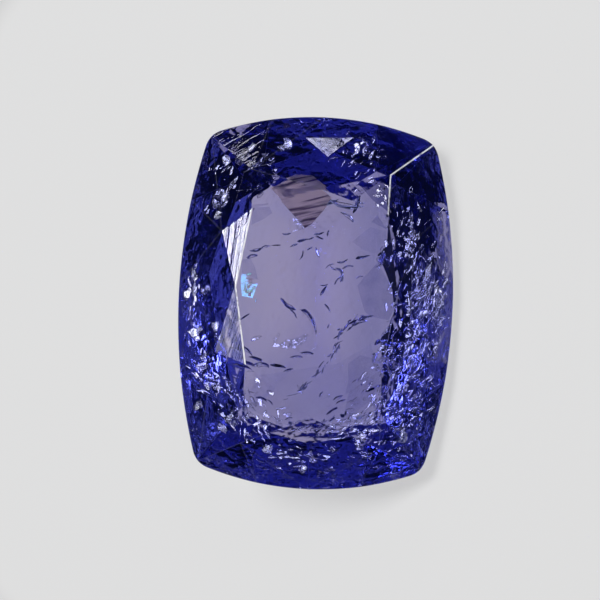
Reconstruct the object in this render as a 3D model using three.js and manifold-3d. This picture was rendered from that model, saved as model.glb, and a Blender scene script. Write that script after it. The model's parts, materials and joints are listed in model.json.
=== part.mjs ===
// A cushion-cut tanzanite: one faceted crystal, 9.5 x 7.0 mm, lying on a long facet of its pavilion.
// Millimetres, +Z up. The stone is cut in its own frame, X along its length, Y across it and Z out of
// the table, and is then turned so that the facet it lies on is flat on the surface, table facing -Y.
import * as THREE from "three";
import { mergeVertices } from "three/addons/utils/BufferGeometryUtils.js";
import Module from "manifold-3d";

const wasm = await Module();
wasm.setup();

// Driving dimensions of the outline, which is four shallow arcs with rounded corners
const LENGTH = 9.5;
const WIDTH = 7.0;
const SIDE_RADIUS = 14.6;
const END_RADIUS = 7.8;
const CORNER_RADIUS = 0.62;
const ARC_STEPS = { side: 30, end: 20, corner: 8 };

// Heights, measured from the middle of the girdle
const GIRDLE_THICKNESS = 0.26;
const CROWN_HEIGHT = 1.05;
const PAVILION_DEPTH = 2.05;

// The table: an eight-sided facet whose four corners sit a little towards the +X end
const TABLE_SHIFT = 0.35;
const TABLE_HALF_LENGTH = 2.85;
const TABLE_HALF_WIDTH = 2.02;
const TABLE_CORNER = { x: 1.93, y: 1.7 };

// Compass directions of the corner facets, from the X axis
const CROWN_CORNER_AZIMUTH = 69;
const PAVILION_CORNER_AZIMUTH = 48;

// Angles of the small star facets around the table
const SIDE_STAR_ANGLE = 25;
const END_STAR_ANGLE = 14;

// The keel is the ridge along the bottom, and the halves' tips reach this share of the way down to it
const KEEL_SHIFT = 0.3;
const KEEL_HALF_LENGTH = 1.45;
const HALVES_REACH = 0.45;

// The pavilion mains stop short of the girdle, by this much inwards and downwards
const SIDE_STOP = { inset: 0.9, drop: 0.66 };
const CORNER_STOP = { inset: 1.6, drop: 1.17 };
const END_STOP = { inset: 1.2, drop: 0.9 };

// Where the facets between two mains share a point on the girdle
const SIDE_GIRDLE_SPLIT = 2.15;
const END_GIRDLE_SPLIT = 1.35;

const BLANK_MARGIN = 1;
const WELD_DISTANCE = 0.004;
const ENDS = [1, -1];
const SIDES = [1, -1];

const point = (x, y, z) => new THREE.Vector3(x, y, z);
const radians = THREE.MathUtils.degToRad;
const GIRDLE_TOP = GIRDLE_THICKNESS / 2;
const GIRDLE_BOTTOM = -GIRDLE_THICKNESS / 2;
const TABLE_LEVEL = GIRDLE_TOP + CROWN_HEIGHT;
const KEEL_LEVEL = GIRDLE_BOTTOM - PAVILION_DEPTH;

// Outline: each arc's centre lies on an axis, and a corner's circle touches a side arc and an end arc
const sideCentre = WIDTH / 2 - SIDE_RADIUS;
const endCentre = LENGTH / 2 - END_RADIUS;
const cornerCentre = (() => {
  const gap = Math.hypot(endCentre, sideCentre);
  const toEnd = END_RADIUS - CORNER_RADIUS;
  const toSide = SIDE_RADIUS - CORNER_RADIUS;
  const along = (toEnd ** 2 - toSide ** 2 + gap ** 2) / (2 * gap);
  const off = Math.sqrt(toEnd ** 2 - along ** 2);
  const step = new THREE.Vector2(-endCentre, sideCentre).divideScalar(gap);
  return new THREE.Vector2(
    endCentre + along * step.x - off * step.y,
    along * step.y + off * step.x,
  );
})();
const sideTangent = Math.atan2(cornerCentre.y - sideCentre, cornerCentre.x);
const endTangent = Math.atan2(cornerCentre.y, cornerCentre.x - endCentre);

function arcPoints(centreX, centreY, radius, from, to, steps) {
  return Array.from({ length: steps }, (_, i) => {
    const angle = from + ((to - from) * i) / steps;
    return new THREE.Vector2(
      centreX + radius * Math.cos(angle),
      centreY + radius * Math.sin(angle),
    );
  });
}

function outline() {
  const { x, y } = cornerCentre;
  const quarter = [
    ...arcPoints(endCentre, 0, END_RADIUS, 0, endTangent, ARC_STEPS.end / 2),
    ...arcPoints(x, y, CORNER_RADIUS, endTangent, sideTangent, ARC_STEPS.corner),
    ...arcPoints(0, sideCentre, SIDE_RADIUS, sideTangent, Math.PI / 2, ARC_STEPS.side / 2),
  ];
  const half = [
    ...quarter,
    new THREE.Vector2(0, WIDTH / 2),
    ...quarter.slice(1).reverse().map((p) => new THREE.Vector2(-p.x, p.y)),
  ];
  return [...half, ...half.map((p) => p.clone().negate())];
}

// Points on the girdle, at a given height
const onSide = (x, s, z) => point(x, s * (sideCentre + Math.sqrt(SIDE_RADIUS ** 2 - x ** 2)), z);
const onEnd = (e, y, z) => point(e * (endCentre + Math.sqrt(END_RADIUS ** 2 - y ** 2)), y, z);
function onCorner(e, s, z) {
  const middle = (endTangent + sideTangent) / 2;
  return point(
    e * (cornerCentre.x + CORNER_RADIUS * Math.cos(middle)),
    s * (cornerCentre.y + CORNER_RADIUS * Math.sin(middle)),
    z,
  );
}

// A facet is a plane whose normal points out of the stone
function facet(azimuth, angle, through, up) {
  const tilt = Math.sin(angle);
  const normal = point(tilt * Math.cos(azimuth), tilt * Math.sin(azimuth), up * Math.cos(angle));
  return new THREE.Plane().setFromNormalAndCoplanarPoint(normal, through);
}

// A main facet faces a compass direction and passes through an inner point and an outer one
function main(azimuth, inner, outer) {
  const run = (outer.x - inner.x) * Math.cos(azimuth) + (outer.y - inner.y) * Math.sin(azimuth);
  const rise = inner.z - outer.z;
  return facet(azimuth, Math.atan2(Math.abs(rise), run), outer, Math.sign(rise));
}

function facetThrough(a, b, c) {
  const plane = new THREE.Plane().setFromCoplanarPoints(a, b, c);
  return plane.constant > 0 ? plane.negate() : plane;
}

function meet(a, b, c) {
  const rows = new THREE.Matrix3().set(...a.normal, ...b.normal, ...c.normal);
  return point(-a.constant, -b.constant, -c.constant).applyMatrix3(rows.invert());
}

function compass(e, s, degrees) {
  const turn = radians(degrees);
  return Math.atan2(s * Math.sin(turn), e * Math.cos(turn));
}

// Crown: mains from the table to the girdle, stars along the table, and a pair of facets below each star
function crownFacets() {
  const tableEnd = (e) => point(e * TABLE_HALF_LENGTH, 0, TABLE_LEVEL);
  const tableSide = (s) => point(TABLE_SHIFT, s * TABLE_HALF_WIDTH, TABLE_LEVEL);
  const tableCorner = (e, s) =>
    point(TABLE_SHIFT + e * TABLE_CORNER.x, s * TABLE_CORNER.y, TABLE_LEVEL);
  const star = (a, b, angle) => {
    const edge = b.clone().sub(a);
    const out = point(edge.y, -edge.x, 0);
    const facing = out.dot(a) < 0 ? out.negate() : out;
    return facet(Math.atan2(facing.y, facing.x), radians(angle), a, 1);
  };

  const facets = [facet(0, 0, point(0, 0, TABLE_LEVEL), 1)];
  for (const s of SIDES) {
    const sideTip = onSide(TABLE_SHIFT, s, GIRDLE_TOP);
    const sideMain = main((s * Math.PI) / 2, tableSide(s), sideTip);
    facets.push(sideMain);
    for (const e of ENDS) {
      const endTip = onEnd(e, 0, GIRDLE_TOP);
      const cornerTip = onCorner(e, s, GIRDLE_TOP);
      const endMain = main(compass(e, s, 0), tableEnd(e), endTip);
      const cornerMain = main(compass(e, s, CROWN_CORNER_AZIMUTH), tableCorner(e, s), cornerTip);
      const sideStar = star(tableCorner(e, s), tableSide(s), SIDE_STAR_ANGLE);
      const endStar = star(tableCorner(e, s), tableEnd(e), END_STAR_ANGLE);
      const sideStarTip = meet(sideMain, cornerMain, sideStar);
      const endStarTip = meet(endMain, cornerMain, endStar);
      const sideSplit = onSide(TABLE_SHIFT + e * SIDE_GIRDLE_SPLIT, s, GIRDLE_TOP);
      const endSplit = onEnd(e, s * END_GIRDLE_SPLIT, GIRDLE_TOP);
      facets.push(
        endMain,
        cornerMain,
        sideStar,
        endStar,
        facetThrough(sideStarTip, sideTip, sideSplit),
        facetThrough(sideStarTip, sideSplit, cornerTip),
        facetThrough(endStarTip, endTip, endSplit),
        facetThrough(endStarTip, endSplit, cornerTip),
      );
    }
  }
  return facets;
}

// Pavilion: mains from the keel outwards, and pairs of steeper halves that carry on to the girdle
function mainStop(girdlePoint, { inset, drop }) {
  const { x, y, z } = girdlePoint;
  const share = 1 - inset / Math.hypot(x, y);
  return point(x * share, y * share, z - drop);
}

const sideStop = (s) => mainStop(onSide(KEEL_SHIFT, s, GIRDLE_BOTTOM), SIDE_STOP);
const sidePavilionMain = (s) => main((s * Math.PI) / 2, point(0, 0, KEEL_LEVEL), sideStop(s));

function pavilionFacets() {
  const facets = [];
  for (const s of SIDES) {
    const sideMain = sidePavilionMain(s);
    facets.push(sideMain);
    for (const e of ENDS) {
      const sideTip = onSide(KEEL_SHIFT, s, GIRDLE_BOTTOM);
      const sideSplit = onSide(KEEL_SHIFT + e * SIDE_GIRDLE_SPLIT, s, GIRDLE_BOTTOM);
      const cornerTip = onCorner(e, s, GIRDLE_BOTTOM);
      const endSplit = onEnd(e, s * END_GIRDLE_SPLIT, GIRDLE_BOTTOM);
      const endTip = onEnd(e, 0, GIRDLE_BOTTOM);
      const keelEnd = point(KEEL_SHIFT + e * KEEL_HALF_LENGTH, 0, KEEL_LEVEL);
      const endMain = main(compass(e, s, 0), keelEnd, mainStop(endTip, END_STOP));
      const cornerStop = mainStop(cornerTip, CORNER_STOP);
      const cornerMain = main(compass(e, s, PAVILION_CORNER_AZIMUTH), keelEnd, cornerStop);
      const stopLevel = GIRDLE_BOTTOM - SIDE_STOP.drop;
      const reachLevel = stopLevel + (KEEL_LEVEL - stopLevel) * HALVES_REACH;
      const reach = facet(0, 0, point(0, 0, reachLevel), 1);
      const sideMeet = meet(sideMain, cornerMain, reach);
      const endMeet = meet(endMain, cornerMain, reach);
      facets.push(
        endMain,
        cornerMain,
        facetThrough(sideMeet, sideTip, sideSplit),
        facetThrough(sideMeet, sideSplit, cornerTip),
        facetThrough(endMeet, endTip, endSplit),
        facetThrough(endMeet, endSplit, cornerTip),
      );
    }
  }
  return facets;
}

// A closed three.js geometry as a solid that can be cut
function solidOf(geometry) {
  const bare = geometry.clone();
  bare.deleteAttribute("normal");
  bare.deleteAttribute("uv");
  const merged = mergeVertices(bare);
  return new wasm.Manifold(
    new wasm.Mesh({
      numProp: 3,
      vertProperties: merged.attributes.position.array,
      triVerts: new Uint32Array(merged.index.array),
    }),
  );
}

// Back to a geometry, with corners that several facets share drawn together into one point
function geometryOf(solid) {
  const { vertProperties, triVerts, numProp, numVert } = solid.getMesh();
  const corners = [];
  const cornerOf = Array.from({ length: numVert }, (_, i) => {
    const p = point(...vertProperties.subarray(i * numProp, i * numProp + 3));
    const near = corners.findIndex((q) => q.distanceTo(p) < WELD_DISTANCE);
    return near >= 0 ? near : corners.push(p) - 1;
  });
  const index = [];
  for (let i = 0; i < triVerts.length; i += 3) {
    const triangle = [...triVerts.subarray(i, i + 3)].map((v) => cornerOf[v]);
    if (new Set(triangle).size === 3) index.push(...triangle);
  }
  const geometry = new THREE.BufferGeometry().setFromPoints(corners).setIndex(index);
  geometry.computeVertexNormals();
  return geometry;
}

function cutStone() {
  const blank = new THREE.ExtrudeGeometry(new THREE.Shape(outline()), {
    depth: TABLE_LEVEL - KEEL_LEVEL + 2 * BLANK_MARGIN,
    bevelEnabled: false,
  }).translate(0, 0, KEEL_LEVEL - BLANK_MARGIN);
  const cut = [...crownFacets(), ...pavilionFacets()].reduce(
    (solid, { normal, constant }) => solid.trimByPlane(normal.clone().negate().toArray(), constant),
    solidOf(blank),
  );
  return geometryOf(cut);
}

// The cut stone, which is all one crystal
const tanzanite = new THREE.MeshStandardMaterial({ color: 0x2a1fa8, roughness: 0.03, metalness: 0 });
const stone = new THREE.Mesh(cutStone(), tanzanite);
stone.name = "stone";

// The stone lies on its -Y pavilion main: that facet's slope is the tilt that brings it level
const lyingFacet = sidePavilionMain(-1);
const lying = new THREE.Group();
lying.add(stone);
lying.rotation.x = Math.acos(-lyingFacet.normal.z);

const part = new THREE.Group();
part.add(lying);
const bounds = new THREE.Box3().setFromObject(part, true);
const middle = bounds.getCenter(point(0, 0, 0));
lying.position.set(-middle.x, -middle.y, -bounds.min.z);

export default part;
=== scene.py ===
# A cut tanzanite lying loose: one cushion-shaped faceted crystal, violet-blue, with its flaws inside.
import json
import math
import random

import bmesh
import bpy
from mathutils import Matrix, Vector, noise


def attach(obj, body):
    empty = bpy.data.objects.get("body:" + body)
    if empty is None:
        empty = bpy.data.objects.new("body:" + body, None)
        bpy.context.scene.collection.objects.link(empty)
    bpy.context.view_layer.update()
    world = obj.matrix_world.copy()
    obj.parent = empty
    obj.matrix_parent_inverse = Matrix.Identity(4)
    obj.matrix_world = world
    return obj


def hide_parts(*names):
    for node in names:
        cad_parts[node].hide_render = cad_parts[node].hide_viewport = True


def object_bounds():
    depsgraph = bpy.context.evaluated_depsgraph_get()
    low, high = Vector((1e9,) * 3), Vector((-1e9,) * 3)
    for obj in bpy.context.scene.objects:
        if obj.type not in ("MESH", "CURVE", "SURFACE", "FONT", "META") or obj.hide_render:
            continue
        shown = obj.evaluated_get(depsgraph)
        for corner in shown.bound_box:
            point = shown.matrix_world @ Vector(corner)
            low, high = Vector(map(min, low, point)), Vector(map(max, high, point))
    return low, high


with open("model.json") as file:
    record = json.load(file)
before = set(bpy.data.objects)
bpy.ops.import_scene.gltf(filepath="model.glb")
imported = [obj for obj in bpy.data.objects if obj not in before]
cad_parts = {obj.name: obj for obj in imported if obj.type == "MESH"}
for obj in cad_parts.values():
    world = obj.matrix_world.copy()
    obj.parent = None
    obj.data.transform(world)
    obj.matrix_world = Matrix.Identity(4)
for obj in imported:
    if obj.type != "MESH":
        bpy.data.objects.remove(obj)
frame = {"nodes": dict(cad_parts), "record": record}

cad_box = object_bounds()

# The stone: one tanzanite crystal, ground facet by facet on a lap and polished. Its facet edges are
# lightly worn, its girdle is left frosted, and some facets still show the lines of the polishing.
MM = 0.001
TABLE = next(m for m in frame["record"]["mounts"] if m["name"] == "table")
OUT = Vector(TABLE["axis"]).normalized()
UP = Vector((1, 0, 0))
RIGHT = UP.cross(OUT)
TABLE_MIDDLE = Vector((0, TABLE["pos_m"][1], TABLE["pos_m"][2]))

WELD = 0.002 * MM
SLIVER = 0.06 * MM
FLAT_ANGLE = math.radians(0.25)
SHARP_ANGLE = math.radians(3)
SAME_FACET = math.radians(0.5)
EDGE_WEAR = 0.008 * MM
WHITE_WEAR = 0.02 * MM
GIRDLE_LEAN = 0.1
LINE_SPACING = 0.11 * MM
LINE_LENGTH = 2.2 * MM
LINE_DEPTH = 0.006 * MM
FAINT_LINES = 0.04
WAVE_SIZE = 0.55 * MM
WAVE_HEIGHT = 0.045 * MM
TANZANITE_IOR = 1.695
ABSORBED_TINT = (0.0455, 0.091, 0.739, 1)
ABSORPTION_PER_M = 440

# Right and up of the facets that still show their polishing lines, the lines' slant, and their strength
STREAKED_FACETS = (
    (-2.04, 1.5, 84, 2.5),
    (-2.16, -0.75, 70, 1.5),
    (-2.4, 3.9, 42, 0.5),
    (1.56, 2.85, -52, 0.6),
)

# Ends, right and up, of the facet edges that are worn white
WORN_EDGES = (
    ((-1.75, 2.3), (-2.02, 0.4)),
    ((-2.02, 0.4), (-1.85, -1.7)),
    ((-2.02, 0.4), (-2.60, -0.6)),
    ((2.8, 4.1), (1.8, 3.4)),
    ((1.85, 3.25), (1.75, 2.2)),
)
WORN_REACH = 0.16
WHITE_STRENGTH = 1.0
LIGHT_STRENGTH = 0.06
GIRDLE_STRENGTH = 0.5
WEAR_SEGMENTS = 3
CHIPS_PER_M = 5200.0
CHIP_RANGE = (0.2, 0.5)
WORN_CLEARNESS = 0.1
WORN_ROUGHNESS = 0.45


def in_stone(right, up, depth):
    """A point in the stone, in mm: right and up as the table is seen square on, and depth below it."""
    return TABLE_MIDDLE + (RIGHT * right + UP * up - OUT * depth) * MM


def table_place(point):
    """How far right and up a point lies, in mm, as the table is seen square on."""
    offset = (point - TABLE_MIDDLE) / MM
    return Vector((offset.dot(RIGHT), offset.dot(UP)))


def in_plane(slant):
    """The direction in the table's plane that is so many degrees from level."""
    turn = math.radians(slant)
    return RIGHT * math.cos(turn) + UP * math.sin(turn)


def stone_facets():
    """The stone as it was cut, with one face to each facet."""
    shape = bmesh.new()
    shape.from_mesh(frame["nodes"]["stone"].data)
    bmesh.ops.remove_doubles(shape, verts=shape.verts, dist=WELD)
    bmesh.ops.dissolve_limit(shape, angle_limit=FLAT_ANGLE, verts=shape.verts, edges=shape.edges)
    shape.normal_update()
    return shape


def is_girdle(face):
    return abs(face.normal.dot(OUT)) < GIRDLE_LEAN


cut_shape = stone_facets()
FACET_PLANES = [(face.verts[0].co.copy(), face.normal.copy()) for face in cut_shape.faces]
CROWN = [number for number, plane in enumerate(FACET_PLANES) if plane[1].dot(OUT) > GIRDLE_LEAN]


def facet_over(spot):
    """The number of the facet that is seen over a spot of the stone, looking square on to the table."""

    def rise(number):
        point, normal = FACET_PLANES[number]
        return (point - spot).dot(normal) / normal.dot(OUT)

    return min(CROWN, key=rise)


def lay_polishing_lines(shape):
    """Gives each facet its direction of polishing, as coordinates across and along, and a strength."""
    lap = shape.loops.layers.float_vector.new("lap")
    streak = shape.faces.layers.float.new("streak")
    wavy = shape.faces.layers.float.new("wavy")
    plain = [(FACET_PLANES[facet_over(in_stone(r, u, 0))][1], lines) for r, u, *lines in STREAKED_FACETS]
    for number, face in enumerate(shape.faces):
        slant, face[streak] = random.Random(number).uniform(0, 180), FAINT_LINES
        for normal, lines in plain:
            if face.normal.angle(normal) < SAME_FACET:
                slant, face[streak] = lines
        face[wavy] = 1.0 if face.normal.dot(OUT) < -GIRDLE_LEAN else 0.0
        way = in_plane(slant)
        along = (way - face.normal * way.dot(face.normal)).normalized()
        across = face.normal.cross(along)
        for loop in face.loops:
            spot = loop.vert.co
            loop[lap] = (spot.dot(across) / LINE_SPACING, spot.dot(along) / LINE_LENGTH, number)


def is_worn_white(place):
    """Whether a place, right and up, lies on one of the edges that are worn white."""
    for start, end in WORN_EDGES:
        start, run = Vector(start), Vector(end) - Vector(start)
        share = max(0, min(1, (place - start).dot(run) / run.length_squared))
        if (place - start - run * share).length < WORN_REACH:
            return True
    return False


def middle_of(edge):
    return table_place((edge.verts[0].co + edge.verts[1].co) / 2)


def wear_edges(shape):
    """Rounds the facet edges, the white ones most, and notes the worn strips and the frosted girdle."""
    bmesh.ops.remove_doubles(shape, verts=shape.verts, dist=SLIVER)
    shape.normal_update()
    wear = shape.faces.layers.float.new("wear")
    for face in shape.faces:
        face[wear] = GIRDLE_STRENGTH if is_girdle(face) else 0.0
    sharp = [e for e in shape.edges if e.calc_face_angle(0) > SHARP_ANGLE]
    sharp = [e for e in sharp if not all(is_girdle(f) for f in e.link_faces)]
    crown_edges = [e for e in sharp if all(f.normal.dot(OUT) > GIRDLE_LEAN for f in e.link_faces)]
    white = [e for e in crown_edges if is_worn_white(middle_of(e))]
    plain = [e for e in sharp if e not in white]
    for edges, width, strength in ((white, WHITE_WEAR, WHITE_STRENGTH), (plain, EDGE_WEAR, LIGHT_STRENGTH)):
        strips = bmesh.ops.bevel(
            shape,
            geom=[e for e in edges if e.is_valid],
            offset=width,
            segments=WEAR_SEGMENTS,
            profile=0.5,
            affect="EDGES",
            clamp_overlap=False,
        )
        for face in strips["faces"]:
            face[wear] = strength


def node(tree, kind, **sockets):
    made = tree.nodes.new("ShaderNode" + kind)
    for name, value in sockets.items():
        made.inputs[name.replace("_", " ")].default_value = value
    return made


def new_material(name):
    made = bpy.data.materials.new(name)
    made.use_nodes = True
    tree = made.node_tree
    return made, tree, tree.nodes["Principled BSDF"], tree.nodes["Material Output"]


def ramp(tree, source, low, high, to_low=0.0, to_high=1.0):
    spread = node(tree, "MapRange")
    for name, value in zip(("From Min", "From Max", "To Min", "To Max"), (low, high, to_low, to_high)):
        spread.inputs[name].default_value = value
    tree.links.new(source, spread.inputs["Value"])
    return spread.outputs["Result"]


def maths(tree, operation, first, second):
    made = node(tree, "Math")
    made.operation = operation
    for socket, value in zip(made.inputs, (first, second)):
        if isinstance(value, (int, float)):
            socket.default_value = value
        else:
            tree.links.new(value, socket)
    return made.outputs[0]


def attribute(tree, name, output):
    made = node(tree, "Attribute")
    made.attribute_name = name
    return made.outputs[output]


def mottle(tree, scale, detail):
    """Noise over the piece itself, so many lumps to the metre."""
    made = node(tree, "TexNoise", Scale=scale, Detail=detail)
    tree.links.new(node(tree, "TexCoord").outputs["Object"], made.inputs["Vector"])
    return made.outputs["Fac"]


def tanzanite_material():
    made, tree, surface, output = new_material("tanzanite")
    surface.inputs["Base Color"].default_value = (1, 1, 1, 1)
    surface.inputs["IOR"].default_value = TANZANITE_IOR
    inside = node(tree, "VolumeAbsorption", Color=ABSORBED_TINT, Density=ABSORPTION_PER_M)
    tree.links.new(inside.outputs[0], output.inputs["Volume"])

    chips = ramp(tree, mottle(tree, CHIPS_PER_M, 3.0), *CHIP_RANGE)
    worn = maths(tree, "MULTIPLY", attribute(tree, "wear", "Fac"), chips)
    tree.links.new(ramp(tree, worn, 0, 1, 1.0, WORN_CLEARNESS), surface.inputs["Transmission Weight"])
    tree.links.new(ramp(tree, worn, 0, 1, 0.0, WORN_ROUGHNESS), surface.inputs["Roughness"])

    lines = node(tree, "TexNoise", Scale=1.0, Detail=3.0)
    tree.links.new(attribute(tree, "lap", "Vector"), lines.inputs["Vector"])
    relief = node(tree, "Bump", Distance=LINE_DEPTH)
    tree.links.new(attribute(tree, "streak", "Fac"), relief.inputs["Strength"])
    tree.links.new(lines.outputs["Fac"], relief.inputs["Height"])
    waves = node(tree, "Bump", Distance=WAVE_HEIGHT)
    tree.links.new(attribute(tree, "wavy", "Fac"), waves.inputs["Strength"])
    tree.links.new(mottle(tree, 1 / WAVE_SIZE, 2.0), waves.inputs["Height"])
    tree.links.new(relief.outputs[0], waves.inputs["Normal"])
    tree.links.new(waves.outputs[0], surface.inputs["Normal"])
    return made


def add_piece(name, shape, material):
    mesh = bpy.data.meshes.new(name)
    shape.to_mesh(mesh)
    shape.free()
    mesh.materials.append(material)
    piece = bpy.data.objects.new(name, mesh)
    bpy.context.scene.collection.objects.link(piece)
    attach(piece, "root")
    return piece


lay_polishing_lines(cut_shape)
wear_edges(cut_shape)
stone = add_piece("tanzanite_crystal", cut_shape, tanzanite_material())
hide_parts("stone")

# The feathers under the table: small cracks from before the cutting, each a thin lens of trapped air.
# They lean steeply under the table and turn the light aside, so each is a short dark spindle or crescent.
SKIN = 0.05 * MM
FILM_GAP = 0.004 * MM
FILM_SIDES = 10
FILM_RINGS = (0.85, 0.45)
RIPPLE = 0.01 * MM
RIPPLE_SIZE = 0.12 * MM
FEATHER_TILT = (46, 58)
FEATHER_WIDTH = (0.25, 0.45)
FEATHER_BEND = 0.2
RIM_UNEVEN = 0.3
FILM_MOTTLE_PER_M = 9000.0
FILM_MOTTLE_RANGE = (0.35, 0.65)
AIR_ROUGHNESS = 0.1

# Right, up and depth of each feather's middle, its length, and its slant in degrees from level
FEATHERS = (
    (-0.72, -0.11, 1.3, 0.50, -36),
    (-0.10, -0.33, 1.6, 0.72, -52),
    (0.17, 0.32, 1.1, 0.28, 62),
    (0.33, -0.11, 1.2, 0.28, -58),
    (0.35, -0.57, 1.2, 0.15, 70),
    (0.30, 0.98, 1.0, 0.24, 30),
    (0.40, 0.88, 1.0, 0.22, -30),
    (0.58, 0.87, 1.0, 0.26, -27),
    (0.65, 0.72, 1.0, 0.32, -84),
    (0.78, 0.98, 1.0, 0.30, 12),
    (1.10, 1.20, 1.1, 0.40, 13),
    (1.08, 0.72, 1.2, 0.18, 20),
    (-1.68, 1.15, 1.0, 0.30, 20),
    (-1.55, 1.25, 1.0, 0.30, 14),
    (-1.35, 1.39, 1.1, 0.26, 18),
    (-1.05, 1.42, 1.1, 0.24, 6),
    (-0.81, 1.70, 1.0, 0.24, 8),
    (-0.60, 1.45, 1.0, 0.22, 22),
    (-0.42, 1.56, 1.2, 0.30, 17),
    (-0.20, 1.62, 1.2, 0.26, 20),
    (-0.02, 1.74, 1.1, 0.28, 8),
    (0.02, 1.66, 1.1, 0.22, -20),
    (0.23, 1.78, 1.1, 0.16, 80),
    (-0.38, 1.19, 1.3, 0.22, 70),
    (-0.21, 1.38, 1.3, 0.18, 25),
    (-0.03, 1.30, 1.2, 0.26, -70),
    (-1.77, -0.40, 1.0, 0.26, 35),
    (-1.72, -1.21, 1.2, 0.40, -28),
    (-1.67, -1.56, 1.1, 0.40, -8),
    (-1.29, -1.58, 1.2, 0.46, -4),
    (-0.90, -1.62, 1.2, 0.44, -8),
    (-0.62, -1.70, 1.2, 0.24, 15),
    (-1.20, -2.37, 1.1, 0.32, -15),
    (-0.98, -2.44, 1.1, 0.22, -40),
    (0.66, -2.34, 1.2, 0.30, 20),
    (0.23, -2.29, 1.2, 0.20, 60),
    (0.60, 2.45, 1.0, 0.85, -12),
    (0.25, 2.52, 1.0, 0.45, 18),
    (0.75, 2.25, 1.0, 0.42, -35),
    (0.93, 2.48, 1.0, 0.36, 70),
    (-0.55, -0.25, 1.4, 0.30, -50),
    (0.20, 0.45, 1.2, 0.22, 10),
    (0.95, -0.45, 1.3, 0.34, 28),
    (1.20, -0.30, 1.3, 0.26, 20),
    (0.62, 1.05, 1.1, 0.30, 15),
    (0.52, 0.62, 1.1, 0.24, 50),
    (-1.45, -1.45, 1.2, 0.36, -12),
    (-0.45, -1.35, 1.2, 0.40, 8),
    (-0.15, -1.25, 1.2, 0.34, -6),
    (0.45, -2.60, 1.2, 0.30, 35),
)


def is_inside(point):
    """Whether a point lies in the stone with a skin of sound crystal over it."""
    return all((point - spot).dot(normal) < -SKIN for spot, normal in FACET_PLANES)


def add_film(shape, luck, middle, facing, along, length, width, bend, ripple=RIPPLE):
    """One thin closed lens of air, bowed and rippled, if the whole of it lies inside the stone."""
    along = (along - facing * along.dot(facing)).normalized()
    across = facing.cross(along)
    reach = [1 + luck.uniform(-RIM_UNEVEN, RIM_UNEVEN) for _ in range(FILM_SIDES)]

    def spot(side, share, lift):
        angle = math.tau * side / FILM_SIDES
        x = reach[side] * share * math.cos(angle)
        y = reach[side] * share * math.sin(angle)
        flat = middle + along * (x * length / 2) + across * (y * width / 2)
        rise = bend * (x * x * length + y * y * width) + ripple * noise.noise(flat / RIPPLE_SIZE)
        return flat + facing * (rise + lift * FILM_GAP * (1 - share**2))

    rim_spots = [spot(side, 1, 0) for side in range(FILM_SIDES)]
    if not all(is_inside(p) for p in rim_spots):
        return
    rim = [shape.verts.new(p) for p in rim_spots]
    for lift in (1, -1):
        outer = rim
        for share in FILM_RINGS:
            ring = [shape.verts.new(spot(side, share, lift)) for side in range(FILM_SIDES)]
            for side in range(FILM_SIDES):
                after = (side + 1) % FILM_SIDES
                corners = [outer[side], outer[after], ring[after], ring[side]]
                shape.faces.new(corners[::lift]).smooth = True
            outer = ring
        tip = shape.verts.new(spot(0, 0, lift))
        for side in range(FILM_SIDES):
            corners = [outer[side], outer[(side + 1) % FILM_SIDES], tip]
            shape.faces.new(corners[::lift]).smooth = True


def leaning(slant, tilt):
    """The way a film faces that runs along the slant and is tilted so many degrees from the table."""
    lean = math.radians(tilt)
    return in_plane(slant + 90) * math.sin(lean) + OUT * math.cos(lean)


def film_material(name, rough):
    """Air as it looks from inside the stone, smooth in some spots and up to so rough in others."""
    made, tree, surface, _ = new_material(name)
    surface.inputs["Base Color"].default_value = (1, 1, 1, 1)
    surface.inputs["IOR"].default_value = 1 / TANZANITE_IOR
    surface.inputs["Transmission Weight"].default_value = 1.0
    frost = ramp(tree, mottle(tree, FILM_MOTTLE_PER_M, 2.0), *FILM_MOTTLE_RANGE, 0.0, rough)
    tree.links.new(frost, surface.inputs["Roughness"])
    return made


trapped_air = film_material("trapped_air", AIR_ROUGHNESS)
feather_shape = bmesh.new()
feather_luck = random.Random(11)
for right, up, depth, length, slant in FEATHERS:
    add_film(
        feather_shape,
        feather_luck,
        in_stone(right, up, depth),
        leaning(slant, feather_luck.uniform(*FEATHER_TILT)),
        in_plane(slant),
        length * MM,
        length * MM * feather_luck.uniform(*FEATHER_WIDTH),
        feather_luck.uniform(-FEATHER_BEND, FEATHER_BEND),
    )
add_piece("table_feathers", feather_shape, trapped_air)

# The long crack: it runs down through the stone from the right edge of the table to the lower left,
# and is partly healed, so that only a chain of small open films is left of it.
CRACK_PATH = ((1.42, -0.24), (1.04, -0.39), (0.70, -0.68), (0.56, -1.15), (0.08, -1.86), (-0.56, -2.47))
CRACK_DEPTH = 1.4
CRACK_FILMS = 9
CRACK_TURN = 16
CRACK_SPREAD = 0.05
CRACK_DEPTH_SPREAD = 0.25
CRACK_TILT = (44, 62)
CRACK_LENGTH = (0.08, 0.34)
CRACK_WIDTH = (0.03, 0.09)
CRACK_BEND = 0.15

crack_shape = bmesh.new()
crack_luck = random.Random(23)
for start, end in zip(CRACK_PATH, CRACK_PATH[1:]):
    run = Vector(end) - Vector(start)
    slant = math.degrees(math.atan2(run.y, run.x))
    for _ in range(CRACK_FILMS):
        spot = Vector(start) + run * crack_luck.uniform(0, 1)
        turn = slant + crack_luck.gauss(0, CRACK_TURN)
        add_film(
            crack_shape,
            crack_luck,
            in_stone(
                spot.x + crack_luck.gauss(0, CRACK_SPREAD),
                spot.y + crack_luck.gauss(0, CRACK_SPREAD),
                CRACK_DEPTH + crack_luck.gauss(0, CRACK_DEPTH_SPREAD),
            ),
            leaning(turn, crack_luck.uniform(*CRACK_TILT)),
            in_plane(turn),
            crack_luck.uniform(*CRACK_LENGTH) * MM,
            crack_luck.uniform(*CRACK_WIDTH) * MM,
            crack_luck.uniform(-CRACK_BEND, CRACK_BEND),
        )
add_piece("long_crack", crack_shape, trapped_air)

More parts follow.
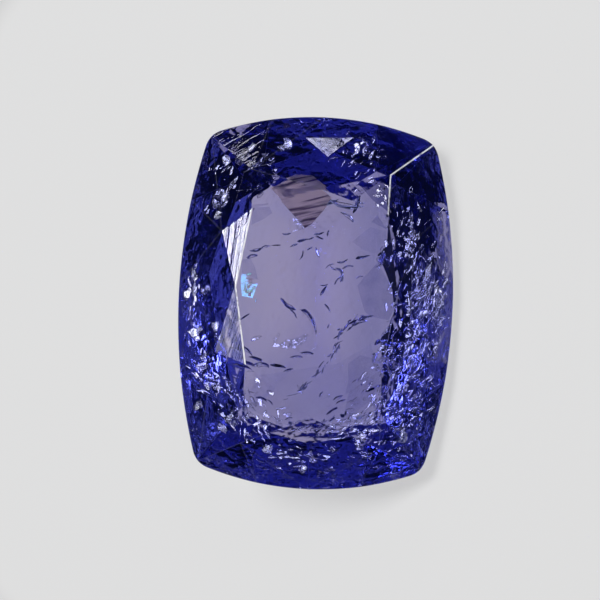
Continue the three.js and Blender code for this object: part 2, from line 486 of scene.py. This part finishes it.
# The cells around the edge: broad bowed films of air between the crown and the pavilion, left where
# the crystal healed badly. Their walls are a little frosted, and each mirrors a light softly.
CELLS_EACH = 2
CELL_SPREAD = 0.13
CELL_RIPPLE = 0.005 * MM
CELL_DEPTH = (0.9, 1.7)
CELL_SCATTER = 0.05
CELL_LENGTH = (0.18, 0.42)
CELL_WIDTH = (0.12, 0.3)
CELL_BEND = 0.03
CELL_ROUGHNESS = 0.3

# Right and up of the brightest cells
CELL_PLACES = (
    (-0.88, 3.85),
    (-1.65, 3.49),
    (-2.44, 3.28),
    (-2.24, 2.75),
    (-2.30, 2.25),
    (-2.70, 1.40),
    (-2.90, 0.75),
    (-3.20, 0.15),
    (-2.60, 0.20),
    (-3.00, -0.97),
    (-2.50, -0.60),
    (-2.81, -1.70),
    (-2.40, -2.20),
    (-2.90, -2.60),
    (-1.90, -3.20),
    (-1.00, -3.54),
    (-0.09, -3.88),
    (1.04, -3.45),
    (2.31, -3.14),
    (2.77, -1.85),
    (3.12, 0.09),
    (2.70, 0.80),
    (3.00, -0.60),
)


def towards(azimuth, elevation):
    """A direction outside the stone. Azimuth 0 is the side that the table faces, and 90 is +X."""
    turn, lift = math.radians(azimuth), math.radians(elevation)
    return Vector((math.sin(turn) * math.cos(lift), -math.cos(turn) * math.cos(lift), math.sin(lift)))


# Azimuth and elevation of the lamps that films inside the stone are turned to
LIGHT_WAYS = {"star_box": (158, 67), "top_box": (110, 72), "far_star_box": (56, 41)}
SPARKLE_LIGHTS = ("star_box", "top_box")


def bent_in(way, normal):
    """The direction inside the stone of light that comes through a facet from a direction outside."""
    along = (way - normal * way.dot(normal)) / TANZANITE_IOR
    return along + normal * math.sqrt(1 - along.length_squared)


def glinting(spot, light):
    """The way a film at a spot faces to throw a light out of the stone along the table's axis."""
    normal = FACET_PLANES[facet_over(spot)][1]
    return (bent_in(OUT, normal) + bent_in(light, normal)).normalized()


def any_way(luck):
    return Vector((luck.gauss(0, 1), luck.gauss(0, 1), luck.gauss(0, 1))).normalized()


cell_shape = bmesh.new()
cell_luck = random.Random(5)
for right, up in CELL_PLACES:
    for _ in range(CELLS_EACH):
        spot = in_stone(
            cell_luck.gauss(right, CELL_SPREAD),
            cell_luck.gauss(up, CELL_SPREAD),
            cell_luck.uniform(*CELL_DEPTH),
        )
        light = towards(*LIGHT_WAYS[cell_luck.choice(SPARKLE_LIGHTS)])
        facing = glinting(spot, light) + any_way(cell_luck) * abs(cell_luck.gauss(0, CELL_SCATTER))
        add_film(
            cell_shape,
            cell_luck,
            spot,
            facing.normalized(),
            any_way(cell_luck),
            cell_luck.uniform(*CELL_LENGTH) * MM,
            cell_luck.uniform(*CELL_WIDTH) * MM,
            cell_luck.gauss(0, CELL_BEND),
            CELL_RIPPLE,
        )
add_piece("edge_cells", cell_shape, film_material("frosted_air", CELL_ROUGHNESS))

# The flakes: crowds of small open films with the lie of one old crack each. Most face the light from
# above, so they sparkle, most of all half way down the right side and in the lower right corner. Those
# that lie every way, along the edge of the see-through middle, turn the light aside and look dark.
FLAKE_RIPPLE = 0.0015 * MM
FLAKE_LENGTH = (0.05, 0.3)
FLAKE_WIDTH = (0.025, 0.11)
FLAKE_SLANT_SPREAD = 20
FLAKE_BEND = 0.02

# Each crowd: its middle (right, up, depth), its spread, how many flakes, the slant that they follow,
# and how far they scatter about the way that makes them glint
CROWDS = (
    ((2.85, 0.10, 1.2), (0.30, 0.55, 0.25), 260, 65, 0.05),
    ((2.30, -0.20, 1.3), (0.20, 0.90, 0.30), 200, 70, 0.06),
    ((2.40, -2.10, 1.2), (0.40, 0.60, 0.30), 150, 40, 0.07),
    ((1.40, -3.10, 1.2), (0.60, 0.35, 0.30), 70, 20, 0.07),
    ((-0.20, -3.80, 1.2), (0.40, 0.15, 0.25), 30, -10, 0.06),
    ((-1.30, -3.00, 1.2), (0.50, 0.40, 0.30), 40, -40, 0.07),
    ((-2.75, -1.60, 1.2), (0.20, 0.35, 0.25), 30, 100, 0.05),
    ((-2.10, -2.10, 1.2), (0.35, 0.20, 0.30), 40, -20, 0.06),
    ((-3.05, 0.10, 1.2), (0.15, 0.45, 0.20), 26, 95, 0.05),
    ((-2.30, 2.90, 1.1), (0.25, 0.45, 0.25), 30, 60, 0.07),
    ((0.95, 3.80, 1.1), (0.25, 0.35, 0.25), 50, 60, 0.08),
    ((1.55, 2.85, 0.4), (0.14, 0.18, 0.05), 14, -50, 0.05),
    ((3.05, 0.10, 1.0), (0.14, 0.25, 0.15), 40, 60, 0.03),
    ((2.05, 1.75, 1.1), (0.15, 0.40, 0.25), 50, 75, 0.07),
    ((2.70, 2.30, 1.2), (0.25, 0.35, 0.25), 8, 70, 0.08),
    ((-0.37, 2.05, 1.4), (0.10, 0.08, 0.10), 20, 20, 0.06),
    ((-0.60, -1.00, 1.2), (0.35, 0.12, 0.10), 24, 10, 0.06),
    ((1.75, 1.15, 1.5), (0.14, 0.12, 0.20), 26, 70, 0.8),
    ((1.75, -1.20, 1.5), (0.16, 0.30, 0.20), 40, 60, 0.8),
    ((1.50, -2.20, 1.4), (0.25, 0.35, 0.20), 50, 45, 0.8),
    ((0.90, -2.85, 1.3), (0.40, 0.15, 0.20), 40, 20, 0.8),
    ((-0.40, -3.00, 1.3), (0.60, 0.12, 0.20), 40, 0, 0.8),
    ((-1.50, -2.60, 1.3), (0.22, 0.25, 0.20), 30, -40, 0.8),
    ((-1.35, 3.05, 1.2), (0.20, 0.20, 0.20), 40, 40, 0.8),
)

flake_shape = bmesh.new()
flake_luck = random.Random(37)
for middle, spread, count, slant, scatter in CROWDS:
    for _ in range(count):
        spot = in_stone(*(flake_luck.gauss(m, s) for m, s in zip(middle, spread)))
        light = towards(*LIGHT_WAYS[flake_luck.choice(SPARKLE_LIGHTS)])
        facing = glinting(spot, light) + any_way(flake_luck) * abs(flake_luck.gauss(0, scatter))
        add_film(
            flake_shape,
            flake_luck,
            spot,
            facing.normalized(),
            in_plane(slant + flake_luck.gauss(0, FLAKE_SLANT_SPREAD)),
            flake_luck.uniform(*FLAKE_LENGTH) * MM,
            flake_luck.uniform(*FLAKE_WIDTH) * MM,
            flake_luck.gauss(0, FLAKE_BEND),
            FLAKE_RIPPLE,
        )
add_piece("edge_flakes", flake_shape, trapped_air)

# The flat cleavages: thin openings where the crystal split along its grain. One under the upper end of
# the crown mirrors the light like a pane, two lean over and look dark, and one by the left edge of the
# table is thin enough to show rainbow colours, with a few flakes on it.
CLEAVAGE_GAP = 0.006 * MM
UPPER_CLEAVAGE = ((-0.43, 4.12), (0.15, 3.63), (0.77, 4.17))
UPPER_CLEAVAGE_DEPTH = 1.0
DARK_TILT = 52

# Outline, right and up, of each cleavage that turns the light aside, its depth, and its slant
DARK_CLEAVAGES = (
    (
        (
            (1.77, 2.33),
            (1.75, 1.54),
            (1.53, 1.3),
            (1.73, 0.92),
            (1.93, 0.42),
            (2, -0.09),
            (1.89, -0.48),
            (1.7, -0.82),
            (1.71, -1.17),
            (1.8, -1.38),
            (2.08, -1.36),
            (2.17, -0.47),
            (2.19, 0.17),
            (2.08, 2.34),
        ),
        1.5,
        90,
    ),
    (((-1.81, 2.36), (-1.27, 2.76), (-1.15, 2.97), (-1.37, 3.4), (-1.85, 3.2)), 1.1, 180),
)

# Outline of the rainbow film, right and up
RAINBOW_FILM = (
    (-1.91, 0.67),
    (-1.78, 0.65),
    (-1.73, 0.48),
    (-1.61, 0.41),
    (-1.49, 0.43),
    (-1.6, 0.06),
    (-1.87, 0.11),
    (-1.92, 0.48),
)
RAINBOW_DEPTH = 1.0
RAINBOW_MIDDLE = (-1.70, 0.36, 0.9)
RAINBOW_SPREAD = (0.1, 0.15, 0.04)
RAINBOW_FLAKES = 12
RAINBOW_SCATTER = 0.03
RAINBOW_LENGTH = (0.06, 0.18)
RAINBOW_WIDTH = (0.03, 0.08)
RAINBOW_ROUGHNESS = 0.12
RAINBOW_TINT = (0.3, 0.9, 1, 1)
RAINBOW_NM = 420


def add_pane(shape, corners, depth, facing):
    """A flat sealed opening with the given corners, turned to face a way of its own."""
    spots = [in_stone(right, up, depth) for right, up in corners]
    middle = sum(spots, Vector()) / len(spots)
    seats = [spot - OUT * ((spot - middle).dot(facing) / OUT.dot(facing)) for spot in spots]
    rings = []
    for lift in (1, -1):
        rings.append([shape.verts.new(seat + facing * (lift * CLEAVAGE_GAP / 2)) for seat in seats])
    top, bottom = rings
    shape.faces.new(top)
    shape.faces.new(bottom[::-1])
    for number in range(len(seats)):
        after = (number + 1) % len(seats)
        shape.faces.new([top[number], bottom[number], bottom[after], top[after]])


def pane_facing(corners, depth, light):
    """The way a pane with the given corners faces to throw a light out along the table's axis."""
    middle = sum((Vector(c) for c in corners), Vector((0, 0))) / len(corners)
    return glinting(in_stone(middle.x, middle.y, depth), towards(*LIGHT_WAYS[light]))


cleavage_shape = bmesh.new()
cleavage_facing = pane_facing(UPPER_CLEAVAGE, UPPER_CLEAVAGE_DEPTH, "far_star_box")
add_pane(cleavage_shape, UPPER_CLEAVAGE, UPPER_CLEAVAGE_DEPTH, cleavage_facing)
add_piece("upper_cleavage", cleavage_shape, trapped_air)

dark_shape = bmesh.new()
for outline, depth, slant in DARK_CLEAVAGES:
    add_pane(dark_shape, outline, depth, leaning(slant, DARK_TILT))
add_piece("dark_cleavages", dark_shape, trapped_air)

rainbow_shape = bmesh.new()
rainbow_facing = pane_facing(RAINBOW_FILM, RAINBOW_DEPTH, "far_star_box")
add_pane(rainbow_shape, RAINBOW_FILM, RAINBOW_DEPTH, rainbow_facing)
rainbow_luck = random.Random(3)
for _ in range(RAINBOW_FLAKES):
    spot = in_stone(*(rainbow_luck.gauss(m, s) for m, s in zip(RAINBOW_MIDDLE, RAINBOW_SPREAD)))
    facing = glinting(spot, towards(*LIGHT_WAYS["far_star_box"]))
    facing += any_way(rainbow_luck) * abs(rainbow_luck.gauss(0, RAINBOW_SCATTER))
    add_film(
        rainbow_shape,
        rainbow_luck,
        spot,
        facing.normalized(),
        any_way(rainbow_luck),
        rainbow_luck.uniform(*RAINBOW_LENGTH) * MM,
        rainbow_luck.uniform(*RAINBOW_WIDTH) * MM,
        0,
        FLAKE_RIPPLE,
    )
rainbow_air = film_material("rainbow_air", RAINBOW_ROUGHNESS)
rainbow_surface = rainbow_air.node_tree.nodes["Principled BSDF"]
rainbow_surface.inputs["Thin Film Thickness"].default_value = RAINBOW_NM
rainbow_surface.inputs["Specular Tint"].default_value = RAINBOW_TINT
add_piece("rainbow_film", rainbow_shape, rainbow_air)

# The stained crack: a flat crack across the upper end of the table that took in a little iron stain.
# It is a thin brownish sheet with dark steps running across it.
STAIN_OUTLINE = (
    (-1.24, 2.79),
    (-0.35, 1.88),
    (-0.20, 1.98),
    (0.11, 2.36),
    (0.28, 2.67),
    (-0.22, 3.09),
    (-0.64, 3.10),
)
STAIN_DEPTH = 0.75
STAIN_SLANT = 16
STEP_SPACING = 0.07 * MM
STEP_LENGTH = 1.5 * MM
STAIN_ROUGHNESS = 0.3
STAIN_CLEARNESS = 0.7
STAIN_STOPS = ((0.36, (0.16, 0.1, 0.2, 1)), (0.5, (1, 0.84, 0.78, 1)))


def tinted(tree, source, stops):
    """A colour that goes from stop to stop, each a position and a colour, as the source goes up."""
    colours = node(tree, "ValToRGB")
    for stop, (position, colour) in zip(colours.color_ramp.elements, stops):
        stop.position = position
        stop.color = colour
    tree.links.new(source, colours.inputs["Fac"])
    return colours.outputs["Color"]


def stain_material():
    made, tree, surface, _ = new_material("iron_stain")
    surface.inputs["IOR"].default_value = 1.0
    surface.inputs["Roughness"].default_value = STAIN_ROUGHNESS
    surface.inputs["Transmission Weight"].default_value = STAIN_CLEARNESS
    steps = node(tree, "TexNoise", Scale=1.0, Detail=3.0)
    place = node(tree, "Mapping", Scale=(1 / STEP_SPACING, 1 / STEP_LENGTH, 1 / STEP_LENGTH))
    turned = node(tree, "VectorRotate", Axis=OUT, Angle=-math.radians(STAIN_SLANT))
    tree.links.new(node(tree, "TexCoord").outputs["Object"], turned.inputs["Vector"])
    tree.links.new(turned.outputs[0], place.inputs["Vector"])
    tree.links.new(place.outputs[0], steps.inputs["Vector"])
    tree.links.new(tinted(tree, steps.outputs["Fac"], STAIN_STOPS), surface.inputs["Base Color"])
    return made


stain_shape = bmesh.new()
add_pane(stain_shape, STAIN_OUTLINE, STAIN_DEPTH, OUT)
add_piece("stained_crack", stain_shape, stain_material())

# The shade veils: flat sheets inside the stone that dim what is behind them a little, as facet-like patches
# with straight edges. Their dimming is painted shade, for the darker tone of some facets in the see-through
# middle and of the upper right star facet.
VEIL_SHADE_TINT = (0.8, 0.8, 0.88)
VEIL_UNEVEN = ((0.35, 1.35), (0.65, 0.65))
VEIL_SHADE_MOTTLE_PER_M = 2500.0

# Outline of each veil, right and up, its depth, and how strongly it dims
VEILS = (
    (
        (
            (1.52, 1.09),
            (1.9, 0.47),
            (2, -0.04),
            (1.86, -0.35),
            (1.37, -0.27),
            (1.24, -0.15),
            (1.03, 0.48),
            (1.17, 0.69),
        ),
        1,
        1,
    ),
    (
        (
            (0.85, 1.6),
            (1.3, 1.98),
            (1.69, 1.89),
            (1.75, 1.59),
            (1.51, 1.3),
            (1.12, 1.41),
        ),
        1.1,
        0.4,
    ),
    (
        (
            (1.32, 2.11),
            (1.46, 2.29),
            (1.71, 1.94),
        ),
        0.95,
        1.4,
    ),
    (
        (
            (0.88, -1.49),
            (1.18, -1.25),
            (1.72, -1.4),
            (1.76, -1.68),
            (1.38, -2.37),
            (0.74, -2.9),
            (0.9, -1.93),
        ),
        1.05,
        0.6,
    ),
    (
        (
            (-1.68, 2.34),
            (-1.27, 2.38),
            (-1.19, 2.23),
            (-1.39, 2.07),
            (-1.71, 1.9),
        ),
        0.85,
        0.9,
    ),
    (
        (
            (-1.93, 1.02),
            (-1.68, 1.06),
            (-1.57, 0.86),
            (-1.48, 0.53),
            (-1.89, 0.67),
        ),
        0.9,
        0.9,
    ),
    (
        (
            (-1.78, -1.96),
            (-0.06, -1.63),
            (0.63, -1.5),
            (1.45, -0.96),
            (1.66, -1.82),
            (1.51, -2.41),
            (0.52, -3.04),
            (-0.76, -3.02),
            (-1.73, -2.55),
        ),
        1.2,
        0.35,
    ),
    # The last veil puts a strong painted shade over the upper right star facet
    (
        (
            (0.98, 2.94),
            (1.88, 3.31),
            (1.72, 2.3),
            (1.33, 2.57),
        ),
        0.6,
        3.6,
    ),
)


# Painted shade: the sheet's colour dims the light that passes through it, in mottled patches
def shade_veil_material(strength):
    made, tree, surface, _ = new_material("painted_shade_veil")
    surface.inputs["IOR"].default_value = 1.0
    surface.inputs["Roughness"].default_value = 0.0
    surface.inputs["Transmission Weight"].default_value = 1.0
    stops = []
    for position, uneven in VEIL_UNEVEN:
        stops.append((position, (*(tint ** (strength * uneven) for tint in VEIL_SHADE_TINT), 1)))
    shade_mottle = mottle(tree, VEIL_SHADE_MOTTLE_PER_M, 4.0)
    tree.links.new(tinted(tree, shade_mottle, stops), surface.inputs["Base Color"])
    return made


for number, (outline, depth, strength) in enumerate(VEILS):
    veil_shape = bmesh.new()
    add_pane(veil_shape, outline, depth, OUT)
    add_piece(f"painted_shade_veil_{number}", veil_shape, shade_veil_material(strength))

# The floor: a plain pale sheet whose own surface glows, as on a viewing pad. The glow is painted light: a
# pool around the stone that fades far off, brighter and warmer under the stone. It only carries the stone,
# and the painted light of the pool comes up through the pavilion.
FLOOR_SIZE = 0.8
FLOOR_GAP = 0.02 * MM
FLOOR_GREY = (0.2, 0.2, 0.2, 1)
FLOOR_ROUGHNESS = 0.9
FLOOR_SHINE = 0.1
FLOOR_GLOW = 0.55
FAR_GLOW = 0.03

# Middle and half size of each patch of floor, along X and Y, and the colour of its light
POOL = ((0, 2.3 * MM), (9.2 * MM, 9.6 * MM))
POOL_REACH = (1.1, 1.35)
UNDER_GLOW = (1.07, 0.9, 0.63, 1)
UNDER_EDGE_GLOW = (0.56, 0.5, 0.47, 1)
UNDER_MIDDLE = ((0.6 * MM, 1.1 * MM), (4.0 * MM, 2.0 * MM))
MIDDLE_REACH = (0.15, 0.95)
UNDER_STONE = ((0, 1.3 * MM), (4.2 * MM, 3.2 * MM))
UNDER_REACH = (0.85, 1.08)
POOL_POWER = 4

floor_shape = bmesh.new()
bmesh.ops.create_grid(floor_shape, size=FLOOR_SIZE / 2, matrix=Matrix.Translation((0, 0, -FLOOR_GAP)))
floor_mesh = bpy.data.meshes.new("floor")
floor_shape.to_mesh(floor_mesh)
floor_shape.free()
floor_material, floor_tree, floor_surface, _ = new_material("floor_sheet")
floor_surface.inputs["Base Color"].default_value = FLOOR_GREY
floor_surface.inputs["Roughness"].default_value = FLOOR_ROUGHNESS
floor_surface.inputs["Specular IOR Level"].default_value = FLOOR_SHINE
floor_place = node(floor_tree, "SeparateXYZ")
floor_tree.links.new(node(floor_tree, "TexCoord").outputs["Object"], floor_place.inputs[0])


def pool(patch, reach, inner, outer):
    """Goes softly from inner to outer across the edge of a cushion-shaped patch of floor."""
    total = 0.0
    for axis, middle, half in zip(floor_place.outputs, *patch):
        offset = maths(floor_tree, "ABSOLUTE", maths(floor_tree, "SUBTRACT", axis, middle), 0)
        share = maths(floor_tree, "POWER", maths(floor_tree, "DIVIDE", offset, half), POOL_POWER)
        total = maths(floor_tree, "ADD", share, total)
    edge = ramp(floor_tree, maths(floor_tree, "POWER", total, 1 / POOL_POWER), *reach, inner, outer)
    edge.node.interpolation_type = "SMOOTHSTEP"
    return edge


def mixed(share, first, second):
    """Goes from the first colour to the second, as the share goes from 0 to 1."""
    made = node(floor_tree, "Mix")
    made.data_type = "RGBA"
    floor_tree.links.new(share, made.inputs[0])
    for socket, colour in zip(made.inputs[6:8], (first, second)):
        if isinstance(colour, tuple):
            socket.default_value = colour
        else:
            floor_tree.links.new(colour, socket)
    return made.outputs[2]


around = node(floor_tree, "CombineColor")
pool_glow = pool(POOL, POOL_REACH, FLOOR_GLOW, FAR_GLOW)
for channel in around.inputs:
    floor_tree.links.new(pool_glow, channel)
# Painted light: a brighter, warmer glow painted on the floor right under the stone, seen up through the
# pavilion
under = mixed(pool(UNDER_MIDDLE, MIDDLE_REACH, 1, 0), UNDER_EDGE_GLOW, UNDER_GLOW)
glow = mixed(pool(UNDER_STONE, UNDER_REACH, 1, 0), around.outputs[0], under)
floor_tree.links.new(glow, floor_surface.inputs["Emission Color"])
floor_surface.inputs["Emission Strength"].default_value = 1.0
floor_mesh.materials.append(floor_material)
floor = bpy.data.objects.new("floor", floor_mesh)
bpy.context.scene.collection.objects.link(floor)
floor.visible_glossy = False

# The light: a dim room, a soft box behind the viewer that veils the table, a lamp overhead for the
# sparkle, and small soft boxes that single facets of the crown and single films mirror.
LIGHT_DISTANCE = 0.3
ROOM = (0.012, 0.016, 0.03, 1)

# Name of each lamp, the way to it, its width in metres, and how bright its face is
LAMPS = (
    ("front_box", OUT, 0.07, 0.06),
    ("star_box", towards(*LIGHT_WAYS["star_box"]), 0.06, 12.0),
    ("top_box", towards(*LIGHT_WAYS["top_box"]), 0.1, 22.0),
    ("low_star_box", towards(-161, 67), 0.05, 2.0),
    ("corner_box", towards(96, 26), 0.04, 6.0),
    ("far_star_box", towards(*LIGHT_WAYS["far_star_box"]), 0.05, 5.0),
)


def soft_box(name, way, size, radiance):
    """A square lamp facing the stone."""
    lamp = bpy.data.lights.new(name, "AREA")
    lamp.shape = "SQUARE"
    lamp.size = size
    lamp.energy = radiance * math.pi * size**2
    holder = bpy.data.objects.new(name, lamp)
    holder.location = TABLE_MIDDLE + way * LIGHT_DISTANCE
    holder.rotation_euler = (-way).to_track_quat("-Z", "Y").to_euler()
    bpy.context.scene.collection.objects.link(holder)


for lamp_row in LAMPS:
    soft_box(*lamp_row)
world = bpy.data.worlds.new("room")
world.use_nodes = True
world.node_tree.nodes["Background"].inputs["Color"].default_value = ROOM
bpy.context.scene.world = world

# The camera looks square on to the table, with the stone's length up the picture and leaning a little.
# It stands close, with a long lens, so that the stone fills the same part as in the photograph.
PICTURE = 600
STONE_MIDDLE_PX = (314.9, 303.2)
STONE_LENGTH_PX = 371.5
STONE_LENGTH = 9.5 * MM
LEAN = math.radians(2.43)
LENS_MM = 100
SENSOR_MM = 36
NEAREST = 0.001

camera = bpy.data.cameras.new("camera")
camera.lens = LENS_MM
camera.sensor_width = SENSOR_MM
per_pixel = STONE_LENGTH / STONE_LENGTH_PX
distance = per_pixel * PICTURE * LENS_MM / SENSOR_MM
picture_up = UP * math.cos(LEAN) - RIGHT * math.sin(LEAN)
picture_right = picture_up.cross(OUT)
stone_middle = (cad_box[0] + cad_box[1]) / 2
offset_right = (STONE_MIDDLE_PX[0] - PICTURE / 2) * per_pixel
offset_down = (STONE_MIDDLE_PX[1] - PICTURE / 2) * per_pixel
aim = stone_middle - picture_right * offset_right + picture_up * offset_down
pose = Matrix((picture_right, picture_up, OUT)).transposed().to_4x4()
pose.translation = aim + OUT * distance
camera_holder = bpy.data.objects.new("camera", camera)
camera_holder.matrix_world = pose
camera.clip_start = NEAREST
bpy.context.scene.collection.objects.link(camera_holder)
bpy.context.scene.camera = camera_holder

# Light goes to and fro many times inside the stone, so the paths are let run long
MOST_BOUNCES = 40
MOST_MIRRORINGS = 24
BRIGHTEST_BOUNCE = 10
bpy.context.scene.view_settings.view_transform = "Standard"
bpy.context.scene.cycles.max_bounces = MOST_BOUNCES
bpy.context.scene.cycles.transmission_bounces = MOST_BOUNCES
bpy.context.scene.cycles.glossy_bounces = MOST_MIRRORINGS
bpy.context.scene.cycles.sample_clamp_indirect = BRIGHTEST_BOUNCE
